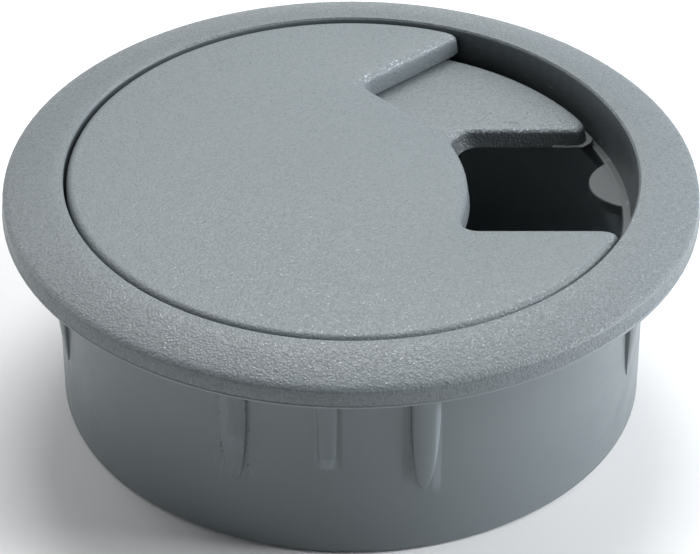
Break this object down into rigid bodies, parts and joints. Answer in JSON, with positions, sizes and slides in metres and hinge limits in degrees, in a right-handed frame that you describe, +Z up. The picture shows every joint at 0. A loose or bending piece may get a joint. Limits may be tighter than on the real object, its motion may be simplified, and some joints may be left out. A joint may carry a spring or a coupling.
{
  "type": "desk grommet",
  "caption": "Round flanged cable grommet for a desk hole, with a lift-out notched cap over a rotary closure disc that opens or shuts the cable slot.",
  "frame": {"origin": "centre of the liner's lower rim, on the grommet's axis", "axes": "+Z up along the grommet's axis, from the lower rim to the cap; +X through the middle of the cable slot in the stored pose; -Y towards the front"},
  "size_m": [0.07, 0.07, 0.0253],
  "materials": {
    "liner_plastic": "grey ABS moulding, fine spark texture on the flange, smooth satin sleeve",
    "cap_plastic": "grey ABS moulding, fine spark texture, rounded top edge",
    "closure_plastic": "grey ABS moulding, fine spark texture",
    "pin_plastic": "smooth satin grey moulding"
  },
  "bodies": {
    "liner_body": {"liner": "liner_plastic"},
    "pin_body": {"pivot_pin": "pin_plastic"},
    "cap_body": {"cap": "cap_plastic"},
    "closure_body": {"closure": "closure_plastic"}
  },
  "joints": [
    {"name": "insert_lift", "type": "slide", "parent": "liner_body", "child": "pin_body", "axis": [0, 0, 1], "range_m": [0, 0.03]},
    {"name": "cap_turn", "type": "hinge", "parent": "pin_body", "child": "cap_body", "pos_m": [0, 0, 0.0252], "axis": [0, 0, 1], "continuous": true},
    {"name": "closure_turn", "type": "hinge", "parent": "cap_body", "child": "closure_body", "pos_m": [0, 0, 0.0216], "axis": [0, 0, 1], "range_deg": [-90, 42.4]}
  ]
}
